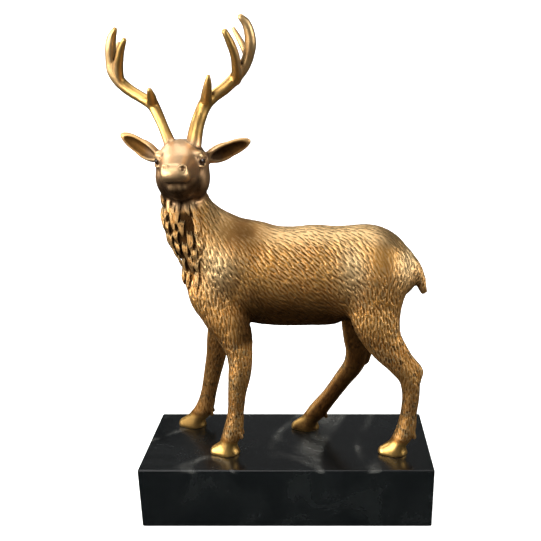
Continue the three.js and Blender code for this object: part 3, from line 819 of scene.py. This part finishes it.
def hollows(p, normals, links):
    """How hollow, positive, or proud, negative, the surface is at each point."""
    bend = ((middle_of_neighbours(p, links) - p) * normals).sum(1)
    wide_bend = ((evenly(p, links, 14) - p) * normals).sum(1)
    return np.clip(smoothed(bend, links, 1) / 0.035, -1, 1), np.clip(wide_bend / 0.28, -1, 1)


# Patina, painted shade and painted highlights. Each trait is a number from 0 to 1 at every point, which the
# brass's shader reads.


def on_antlers(p):
    """The antlers: all above the skull that isn't an ear."""
    above_skull = 1 - ramp(-np.linalg.norm((p - HEAD) / [14, 12, 15], axis=1), -1.15, -0.9)
    beside_head = ramp(-p[:, 0], 76, 80) + ramp(p[:, 0], -46, -42)
    on_ears = beside_head * ramp(p[:, 2], 196, 200) * ramp(-p[:, 2], -222, -219)
    return np.clip(ramp(p[:, 2], 213, 219) * above_skull - on_ears, 0, 1)


def on_outer_beams(p):
    """The antlers' outer beams above the first fork, and the back tine of the one towards +X."""
    outer = np.maximum(ramp(-p[:, 0], 98, 101), ramp(p[:, 0], -28, -25))
    outer = np.maximum(outer, ramp(p[:, 1], 1, 4) * ramp(p[:, 0], -40, -35))
    return outer * ramp(p[:, 2], 240, 250)


def on_low_flank(p):
    """The belly's painted shade as it climbs the flanks between the legs."""
    fall = 0.92 * np.clip((134 - p[:, 2]) / 35, 0, 1) * ramp(p[:, 2], 80, 88)
    fall *= ramp(p[:, 0], -46, -18) * ramp(-p[:, 0], -46, -24)
    return 1 - (1 - fall) ** 2.2


def on_inner_legs(p, normals):
    """The sides of the legs that face each other, where shade is painted."""
    inner = np.zeros(len(p))
    for leg_points, _ in LEGS:
        middle = np.array([row[:3] for row in leg_points])
        much = 0.8 if middle[0, 0] < 0 else 1.0
        xs, ys, zs = middle[np.argsort(middle[:, 2])].T
        x, y = np.interp(p[:, 2], zs, xs), np.interp(p[:, 2], zs, ys)
        mine = (np.abs(p[:, 0] - x) < 16) & (np.sign(p[:, 1]) == np.sign(y)) & (p[:, 2] < 100)
        turned_in = ramp(-normals[:, 1] * np.sign(y), 0.1, 0.8) * much
        inner = np.where(mine, np.maximum(inner, turned_in), inner)
    return inner


def in_ears(p):
    """The floors of the ears' hollows, where shade is painted, a little paler in the ear towards -X."""
    deep = np.zeros(len(p))
    for _, middle, _, form in EAR_HOLLOWS:
        deep = np.maximum(deep, 1 - ramp(to_blob(middle, *form, p), 0.25, 0.8))
    return deep * np.where(p[:, 0] < HEAD[0], 0.82, 1.0)


def in_mane_gaps(p, mane_part):
    """The neck's own surface where it shows between the mane's locks."""
    in_mane = np.flatnonzero(mane_part > 0.02)
    body = Masses(BODY)
    above_body = body.distance(p[in_mane], body.near(np.array([-60, 0, 155]), 60))
    gaps = np.zeros(len(p))
    gaps[in_mane] = mane_part[in_mane] * (1 - ramp(above_body, 1.1, 2.1))
    return gaps


def on_eyes(p):
    eyes = np.zeros(len(p))
    for side in SIDES:
        away = np.linalg.norm((p - on_head(side * EYE[0], *EYE[1:])) / EYE_RADII, axis=1)
        eyes = np.maximum(eyes, ramp(-away, -1.09, -1.03))
    return eyes


def painted_shade_and_wax(p, normals, face, antler, outer_beam):
    """Painted shade on the undersides, the low flanks, the inner legs, the jaw and chin, in the ears and on
    the antlers' far sides, a dark ring round the coronets, and the patches of wax and painted shade.
    """
    # Painted shade on the surfaces that face down, between the legs' tops and the head
    downwards = ramp(-normals[:, 2], 0.05, 0.8)
    belly = 0.97 * downwards * ramp(p[:, 2], 78, 92) * ramp(-p[:, 2], -200, -190)
    # Painted shade under the jaw and on the chin below the mouth
    jaw = 0.9 * ramp(-normals[:, 2], -0.15, 0.55) * face
    jaw *= ramp(-p[:, 2], -199, -190) * ramp(p[:, 2], 168, 176)
    chin = 0.9 * ramp(-p[:, 2], -196.4, -193.2) * ramp(p[:, 2], 170, 178)
    chin *= face * ramp(-p[:, 1], 12, 18)
    # A dark ring painted round each coronet
    coronet = 0.85 * np.exp(-(((p[:, 2] - 12.4) / 1.1) ** 2))
    # Painted shade on the antlers' sides that face +X and down, less on the outer beams
    away_side = np.maximum(ramp(normals[:, 0], 0.0, 0.8), ramp(-normals[:, 2], 0.0, 0.8))
    away_side *= 0.62 * antler * (1 - 0.85 * outer_beam)
    dark = (
        belly, on_low_flank(p), on_inner_legs(p, normals), jaw, chin,
        in_ears(p), patches(WAX_AND_SHADE_PATCHES, p), coronet, away_side,
    )
    return 1 - np.prod([1 - part for part in dark], axis=0)


def wear_and_painted_highlight(p, normals, antler, outer_beam):
    """Where handling has worn the brass pale and highlights are painted pale: the patches, the upward faces
    of the back and the outer beams.
    """
    # Painted highlight on the back's upward faces
    top_highlight = 0.75 * ramp(normals[:, 2], 0.35, 0.8) * ramp(p[:, 2], 120, 140)
    wear_and_highlight = np.maximum(patches(PALE_WEAR_AND_HIGHLIGHTS, p), top_highlight) * (1 - patches(WAX_AND_SHADE_PATCHES, p)) * (1 - antler)
    # Painted highlight on the antlers' outer beams
    return np.maximum(wear_and_highlight, 0.6 * antler * outer_beam)


low, values = sampled_field(CELL)
values = without_touching(values)
points, quads = largest_part(*surface_of(low, values, CELL))
points = evened(points, quads, low, values, CELL)
links = neighbours_of(quads, len(points))
smooth_normals = unit(evenly(vertex_normals(points, quads), links, 6))
lie = lie_of_hair(points, smooth_normals)
carved, groove = chased(points, smooth_normals)
carved[:, 2] = np.where(points[:, 2] < 1.0, points[:, 2], carved[:, 2])
carved_normals = vertex_normals(carved, quads)
fine, wide = hollows(carved, carved_normals, links)

antler = on_antlers(points)
outer_beam = on_outer_beams(points)
hoof = ramp(-points[:, 2], -12.5, -10)
face = ramp(-from_face(points), -27, -22)
mane_part = on_mane(points) * ramp(points[:, 2], 120, 128) * (1 - face)
coat = on_coat(points) * (1 - on_mane(points)) * (1 - patches(CALM, points))
traits = {
    "groove": np.clip(groove, 0, 1),
    "fine": fine * 0.5 + 0.5,
    "wide": wide * 0.5 + 0.5,
    "shade": smoothed(painted_shade_and_wax(points, smooth_normals, face, antler, outer_beam), links, 6),
    "shut": smoothed(hidden(points, smooth_normals, low, values, CELL), links, 3),
    "lie": np.degrees(np.arctan2(-lie[:, 2], lie[:, 0])) / 180,
    "flank": ramp(np.abs(smooth_normals[:, 1]), 0.35, 0.65),
    "polish": np.clip(0.8 * hoof + antler * (0.75 - 0.6 * outer_beam), 0, 1),
    "coat": coat,
    "wear_and_highlight": wear_and_painted_highlight(points, smooth_normals, antler, outer_beam),
    "mottled": 0.45 + 0.48 * ramp(-points[:, 2], -108, -80),
    "mane": mane_part,
    "gap": in_mane_gaps(points, mane_part),
    "face": face * (1 - antler),
    "eyes": on_eyes(points),
}


def mesh_object(name, vertices, faces):
    mesh = bpy.data.meshes.new(name)
    mesh.from_pydata(vertices, [], faces)
    mesh.validate()
    obj = bpy.data.objects.new(name, mesh)
    bpy.context.scene.collection.objects.link(obj)
    return obj


def thinned(obj, triangles):
    """Gives the object's flatter places fewer triangles."""
    modifier = obj.modifiers.new("thin", "DECIMATE")
    modifier.ratio = triangles / (2 * len(obj.data.polygons))
    modifier.use_collapse_triangulate = True
    evaluated = obj.evaluated_get(bpy.context.evaluated_depsgraph_get())
    mesh = bpy.data.meshes.new_from_object(evaluated)
    obj.modifiers.clear()
    obj.data = mesh


def carry_over(obj, from_points, values_by_name):
    """Gives each vertex the traits of the nearest point, and says which point that is."""
    tree = KDTree(len(from_points))
    for i, p in enumerate(from_points.tolist()):
        tree.insert(p, i)
    tree.balance()
    co = np.zeros(len(obj.data.vertices) * 3)
    obj.data.vertices.foreach_get("co", co)
    nearest = np.array([tree.find(p)[1] for p in co.reshape(-1, 3).tolist()])
    for name, column in values_by_name.items():
        attribute = obj.data.attributes.new(name, "FLOAT", "POINT")
        attribute.data.foreach_set("value", column[nearest].astype(np.float32))
    return nearest


scale = STAG_HEIGHT / carved[:, 2].max()
placed = (carved * scale + np.array([0, STAG_ASIDE, PLINTH_HEIGHT])) * MM
stag = mesh_object("stag_casting", placed.tolist(), quads.tolist())
thinned(stag, TRIANGLES)
nearest = carry_over(stag, placed, traits)
stag.data.shade_smooth()
# The bare face, antlers and hooves are polished, so their light runs more evenly than their grid does.
bare = np.clip(1 - coat - mane_part, 0, 1)[:, None]
shown_normals = unit(carved_normals * (1 - bare) + evenly(carved_normals, links, 5) * bare)
stag.data.normals_split_custom_set_from_vertices(shown_normals[nearest].tolist())


# The block


def rounded_block(name, lowest, highest, radius):
    x, y, z = highest - lowest
    corners = [(i, j, k) for k in (0, 1) for j in (0, 1) for i in (0, 1)]
    vertices = [tuple(lowest[a] + (highest - lowest)[a] * c[a] for a in range(3)) for c in corners]
    faces = [(0, 2, 3, 1), (4, 5, 7, 6), (0, 1, 5, 4), (2, 6, 7, 3), (0, 4, 6, 2), (1, 3, 7, 5)]
    obj = mesh_object(name, vertices, faces)
    bevel = obj.modifiers.new("eased", "BEVEL")
    bevel.width = radius
    bevel.segments = 3
    obj.data.shade_smooth()
    bevel.harden_normals = True
    return obj


plinth = rounded_block("marble_block", *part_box("plinth"), PLINTH_EDGE * MM)


# Materials


class Shader:
    """A material's nodes, made and joined by short calls."""

    def __init__(self, name):
        self.material = bpy.data.materials.new(name)
        self.material.use_nodes = True
        self.nodes = self.material.node_tree.nodes
        self.links = self.material.node_tree.links
        self.surface = self.nodes["Principled BSDF"]

    def give(self, socket, value):
        if isinstance(value, bpy.types.NodeSocket):
            self.links.new(value, socket)
        else:
            socket.default_value = value

    def node(self, kind, **inputs):
        made = self.nodes.new(kind)
        for key, value in inputs.items():
            self.give(made.inputs[key], value)
        return made

    def trait(self, name):
        made = self.nodes.new("ShaderNodeAttribute")
        made.attribute_name = name
        return made.outputs["Fac"]

    def math(self, operation, a, b=0.0, clamp=False):
        made = self.nodes.new("ShaderNodeMath")
        made.operation, made.use_clamp = operation, clamp
        self.give(made.inputs[0], a)
        self.give(made.inputs[1], b)
        return made.outputs[0]

    def between(self, value, low, high, to_low=0.0, to_high=1.0):
        made = self.nodes.new("ShaderNodeMapRange")
        made.interpolation_type = "SMOOTHSTEP"
        ends = {"From Min": low, "From Max": high, "To Min": to_low, "To Max": to_high}
        for key, v in {"Value": value, **ends}.items():
            self.give(made.inputs[key], v)
        return made.outputs[0]

    def product(self, a, b):
        return self.math("MULTIPLY", a, b)

    def most(self, first, *others):
        for other in others:
            first = self.math("MAXIMUM", first, other)
        return first

    def rest_of(self, value):
        return self.math("SUBTRACT", 1.0, value)

    def mix(self, share, a, b):
        made = self.nodes.new("ShaderNodeMix")
        made.data_type = "RGBA"
        self.give(made.inputs[0], share)
        self.give(made.inputs[6], a if isinstance(a, bpy.types.NodeSocket) else (*a, 1))
        self.give(made.inputs[7], b if isinstance(b, bpy.types.NodeSocket) else (*b, 1))
        return made.outputs[2]

    def place(self):
        return self.node("ShaderNodeTexCoord").outputs["Object"]

    def combed(self, turn, size):
        """The place in steps of so much along and across the hair, which is turned about the cross axis."""
        bent = self.node("ShaderNodeTexNoise", Vector=self.place(), Scale=120.0, Detail=2.0)
        drift = self.node("ShaderNodeVectorMath")
        drift.operation = "MULTIPLY_ADD"
        self.give(drift.inputs[0], bent.outputs["Color"])
        drift.inputs[1].default_value = (0.0012, 0.0012, 0.0012)
        self.give(drift.inputs[2], self.place())
        placed = self.nodes.new("ShaderNodeMapping")
        placed.vector_type = "TEXTURE"
        self.give(placed.inputs["Vector"], drift.outputs[0])
        placed.inputs["Rotation"].default_value = (0, turn, 0)
        placed.inputs["Scale"].default_value = size
        return placed.outputs[0]

    def strokes(self, turn, size):
        """Slender tool marks, 1 in their middle, set closely side by side."""
        combed = self.combed(turn, size)
        cells = self.node("ShaderNodeTexVoronoi", Vector=combed, Scale=1.0, Randomness=0.9)
        dashes = self.between(cells.outputs["Distance"], 0.12, 0.40, 0.75, 0.0)
        streaks = self.between(self.noise(combed, 1.35, 1.5, 0.5), 0.54, 0.40)
        return self.math("MAXIMUM", dashes, streaks)

    def noise(self, vector, scale, detail=3.0, roughness=0.55, distortion=0.0):
        made = self.node("ShaderNodeTexNoise", Vector=vector, Scale=scale, Detail=detail)
        made.inputs["Roughness"].default_value = roughness
        made.inputs["Distortion"].default_value = distortion
        return made.outputs["Fac"]

    def bump(self, height, strength, distance):
        return self.node("ShaderNodeBump", Height=height, Strength=strength, Distance=distance).outputs[0]


def brass_material():
    s = Shader("patinated_brass")
    groove, fine, wide = s.trait("groove"), s.trait("fine"), s.trait("wide")
    shade, polish, coat = s.trait("shade"), s.trait("polish"), s.trait("coat")
    lie, flank, eyes = s.trait("lie"), s.trait("flank"), s.trait("eyes")
    blotches = s.noise(s.place(), 55, 4, 0.6)
    grain = s.noise(s.place(), 900, 3, 0.6)
    speckle = s.noise(s.place(), 330, 4, 0.65)

    # Fine tool marks, in a few fixed directions that give way to each other as the hair turns
    marks = []
    for angle in (35, 58, 80, 104):
        off = s.math("ABSOLUTE", s.math("SUBTRACT", lie, angle / 180))
        share = s.product(s.between(off, 0.02, 0.095, 1.0, 0.0), flank)
        marks.append(s.product(s.strokes(math.radians(angle - 90), (0.0014, 0.006, 0.0056)), share))
    marks.append(s.product(s.strokes(0.0, (0.0056, 0.0014, 0.0056)), s.rest_of(flank)))
    locks = s.product(s.strokes(0.0, (0.0010, 0.0010, 0.0080)), s.trait("mane"))
    marks = s.most(s.product(s.most(*marks), coat), locks)

    # Bare brass, painted pale with highlights and some wear on the back and the shoulders, polished on the
    # antlers and hooves, and paler and pinker on the face as a painted highlight
    colour = s.mix(s.between(blotches, 0.35, 0.65), (0.74, 0.32, 0.068), (0.88, 0.435, 0.105))
    # Painted highlights with some wear, broken by speckle
    wear_and_highlight = s.product(s.trait("wear_and_highlight"), s.between(speckle, 0.3, 0.5, 0.6, 1.0))
    colour = s.mix(wear_and_highlight, colour, (1.0, 0.72, 0.37))
    colour = s.mix(s.between(polish, 0.2, 0.9), colour, (0.98, 0.60, 0.18))
    # Painted highlight: the face made paler and pinker
    colour = s.mix(s.product(s.trait("face"), 0.7), colour, (0.80, 0.55, 0.34))

    # Dark wax lies in the strokes and the hollows, and the mane's gaps are darkened; painted shade darkens
    # the undersides and the places the body shuts in
    hollow = s.product(s.between(wide, 0.56, 0.9), s.rest_of(s.product(polish, 0.6)))
    mottle = s.between(s.noise(s.place(), 190, 3, 0.65), 0.44, 0.62)
    mottle = s.product(mottle, s.product(coat, s.trait("mottled")))
    wax_and_shade = s.most(
        s.between(groove, 0.15, 0.8, 0, 0.5),
        s.product(marks, s.between(blotches, 0.3, 0.6, 0.85, 0.6)),
        s.product(s.trait("gap"), 0.97),
        s.product(hollow, 0.75),
        s.product(mottle, s.rest_of(wear_and_highlight)),
        s.product(s.between(fine, 0.6, 0.95), 0.5),
        # Painted shade where the body shuts out the light round a point
        s.between(s.trait("shut"), 0.28, 0.75, 0.0, 0.95),
        # Painted shade and shadow from the shade trait, with its wax
        s.product(shade, s.between(speckle, 0.25, 0.6, 1.0, 0.95)),
        s.product(s.between(speckle, 0.58, 0.75), s.product(coat, 0.35)),
    )
    colour = s.mix(wax_and_shade, colour, (0.024, 0.0095, 0.0028))

    # Ridges are painted pale, as rubbed wear with a painted highlight, and the eyes are dark and smooth
    ridge_wear_and_highlight = s.product(s.between(fine, 0.42, 0.15), s.math("SUBTRACT", 1.0, shade, True))
    ridge_wear_and_highlight = s.product(ridge_wear_and_highlight, s.between(polish, 0.0, 0.6, 0.5, 0.15))
    colour = s.mix(ridge_wear_and_highlight, colour, (1.0, 0.72, 0.36))
    colour = s.mix(eyes, colour, (0.012, 0.006, 0.003))
    s.give(s.surface.inputs["Base Color"], colour)
    metal = s.math("SUBTRACT", s.between(wax_and_shade, 0.3, 1.0, 1.0, 0.97), eyes, True)
    s.give(s.surface.inputs["Metallic"], metal)
    rough = s.math("ADD", s.between(wax_and_shade, 0.0, 1.0, 0.44, 0.58), s.between(grain, 0.3, 0.7, -0.03, 0.05))
    rough = s.math("SUBTRACT", rough, s.product(polish, 0.08))
    rough = s.math("SUBTRACT", rough, s.product(eyes, 0.46), True)
    s.give(s.surface.inputs["Roughness"], rough)
    height = s.math("ADD", s.product(speckle, 0.5), s.product(grain, 0.25))
    height = s.math("SUBTRACT", height, s.product(marks, 1.1))
    s.give(s.surface.inputs["Normal"], s.bump(height, 0.5, 0.0004))
    return s.material


def marble_material():
    s = Shader("black_marble")
    cloud = s.noise(s.place(), 26, 6, 0.62, 0.6)
    fleck = s.noise(s.place(), 420, 5, 0.7)
    vein = s.noise(s.place(), 6, 2.5, 0.5, 0.7)
    colour = s.mix(s.between(cloud, 0.42, 0.75), (0.0020, 0.0027, 0.0029), (0.0046, 0.0058, 0.0058))
    # Pale smoky veins, on the top only, where they also stand in as a painted reflection on the polished
    # top
    height = s.node("ShaderNodeSeparateXYZ", Vector=s.place()).outputs["Z"]
    line = s.math("ABSOLUTE", s.math("SUBTRACT", vein, 0.5))
    veins_and_reflection = s.product(s.between(line, 0.022, 0.0), s.between(cloud, 0.34, 0.66))
    veins_and_reflection = s.product(veins_and_reflection, s.between(height, 0.042, 0.0447, 0.0, 0.55))
    colour = s.mix(veins_and_reflection, colour, (0.10, 0.10, 0.09))
    colour = s.mix(s.between(fleck, 0.60, 0.75, 0, 0.35), colour, (0.026, 0.031, 0.031))
    s.give(s.surface.inputs["Base Color"], colour)
    s.give(s.surface.inputs["Roughness"], s.between(cloud, 0.3, 0.8, 0.20, 0.32))
    s.give(s.surface.inputs["Normal"], s.bump(fleck, 0.08, 0.0002))
    return s.material


def floor_material():
    s = Shader("pale_floor")
    tone = s.noise(s.place(), 6, 3)
    s.give(s.surface.inputs["Base Color"], s.mix(tone, (0.84, 0.84, 0.84), (0.88, 0.88, 0.875)))
    s.surface.inputs["Roughness"].default_value = 0.7
    s.surface.inputs["Emission Color"].default_value = (1, 1, 1, 1)
    s.surface.inputs["Emission Strength"].default_value = 0.7
    return s.material


stag.data.materials.append(brass_material())
plinth.data.materials.append(marble_material())
for piece, node, slot_name in ((stag, "stag", "brass"), (plinth, "plinth", "marble")):
    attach(piece, "root")
    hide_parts(node)


# Studio


def bowl(name, flat, bend, height):
    """A round floor that curves up into a backdrop on every side."""
    arc = [math.pi / 2 * i / 12 for i in range(1, 13)]
    profile = [(0.05, 0.0), (flat, 0.0)]
    profile += [(flat + bend * math.sin(t), bend - bend * math.cos(t)) for t in arc]
    profile.append((flat + bend, height))
    count = 64
    turns = [2 * math.pi * k / count for k in range(count)]
    vertices = [(r * math.cos(t), r * math.sin(t), z) for r, z in profile for t in turns] + [(0, 0, 0)]
    faces = [
        (i + k, i + count + k, i + count + (k + 1) % count, i + (k + 1) % count)
        for i in range(0, count * (len(profile) - 1), count)
        for k in range(count)
    ]
    faces += [(k, (k + 1) % count, len(vertices) - 1) for k in range(count)]
    obj = mesh_object(name, vertices, faces)
    obj.data.shade_smooth()
    return obj


floor = bowl("floor", 1.8, 0.8, 3.0)
floor.data.materials.append(floor_material())
floor.visible_glossy = False


def softbox(name, place, target, size, power, colour):
    data = bpy.data.lights.new(name, "AREA")
    data.shape, data.size, data.energy, data.color = "DISK", size, power, colour
    obj = bpy.data.objects.new(name, data)
    bpy.context.scene.collection.objects.link(obj)
    obj.location = place
    obj.rotation_mode = "QUATERNION"
    obj.rotation_quaternion = (Vector(target) - Vector(place)).to_track_quat("-Z", "Y")


WHITE = (1.0, 1.0, 1.0)
WARM = (1.0, 0.97, 0.93)
SOFTBOXES = (
    ("left", (-1.15, -0.35, 0.42), (-0.02, 0, 0.18), 0.8, 8, WARM),
    ("left_front", (-0.85, -0.95, 0.22), (-0.03, 0, 0.18), 0.7, 9, WARM),
    ("left_top", (-0.75, 0.60, 1.05), (-0.05, 0, 0.2), 0.8, 7, WHITE),
    ("over_front", (-0.35, -1.0, 1.05), (0, 0, 0.17), 0.8, 5.5, WHITE),
    ("top", (0.0, 0.10, 1.3), (0, 0, 0.17), 1.0, 5, WHITE),
    ("right", (1.15, -0.35, 0.36), (0, 0, 0.17), 0.6, 6, WHITE),
    ("front", (0.35, -1.3, 0.42), (0, 0, 0.15), 1.0, 0.9, WHITE),
    ("behind", (0.0, 1.35, 1.0), (0, 0, 0.05), 0.9, 0.4, WHITE),
)
for settings in SOFTBOXES:
    softbox(*settings)

world = bpy.data.worlds.new("studio")
world.use_nodes = True
world.node_tree.nodes["Background"].inputs[0].default_value = (1, 1, 1, 1)
world.node_tree.nodes["Background"].inputs[1].default_value = 0.025
bpy.context.scene.world = world
bpy.context.scene.view_settings.view_transform = "Standard"

# The camera fitted to the block's corners in the photograph, whose optical axis meets it off its middle
PHOTO_SIDE = 541
AXIS_ACROSS = 323.6
FOCAL_SHARE = 1.203
SENSOR = 36
CAMERA_TILT = 17.63
camera_data = bpy.data.cameras.new("camera")
camera_data.sensor_width = SENSOR
camera_data.lens = FOCAL_SHARE * SENSOR
camera_data.shift_x = (PHOTO_SIDE / 2 - AXIS_ACROSS) / PHOTO_SIDE
camera_data.clip_start = 0.01
camera = bpy.data.objects.new("camera", camera_data)
bpy.context.scene.collection.objects.link(camera)
camera.location = (0.0252, -0.4127, 0.3051)
camera.rotation_euler = (math.radians(90 - CAMERA_TILT), 0, 0)
bpy.context.scene.camera = camera
